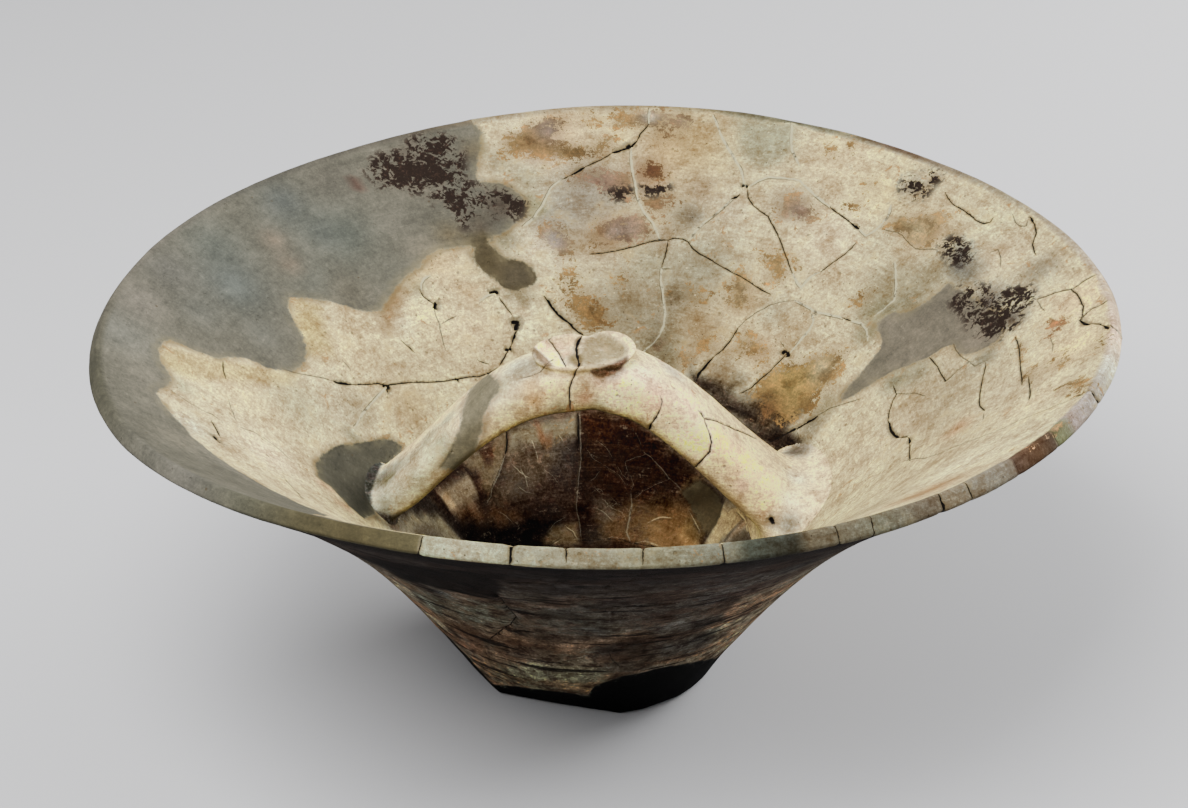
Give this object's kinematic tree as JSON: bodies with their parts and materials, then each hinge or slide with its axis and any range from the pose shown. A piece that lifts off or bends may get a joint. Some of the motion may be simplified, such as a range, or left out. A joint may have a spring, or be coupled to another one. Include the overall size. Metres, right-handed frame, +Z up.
{
  "type": "spinning bowl",
  "caption": "Wide flaring clay bowl on a small flat foot, with an arched strap handle inside that carries a small thread dish on its crown.",
  "frame": {"origin": "middle of the foot, on the surface that the bowl stands on", "axes": "+Z up out of the mouth, +X along the strap handle towards its broader root, -Y towards the viewer in the picture"},
  "size_m": [0.4694, 0.4686, 0.1949],
  "materials": {
    "clay": "matt, worn and repaired"
  },
  "bodies": {
    "root": {"bowl": "clay"}
  },
  "joints": []
}
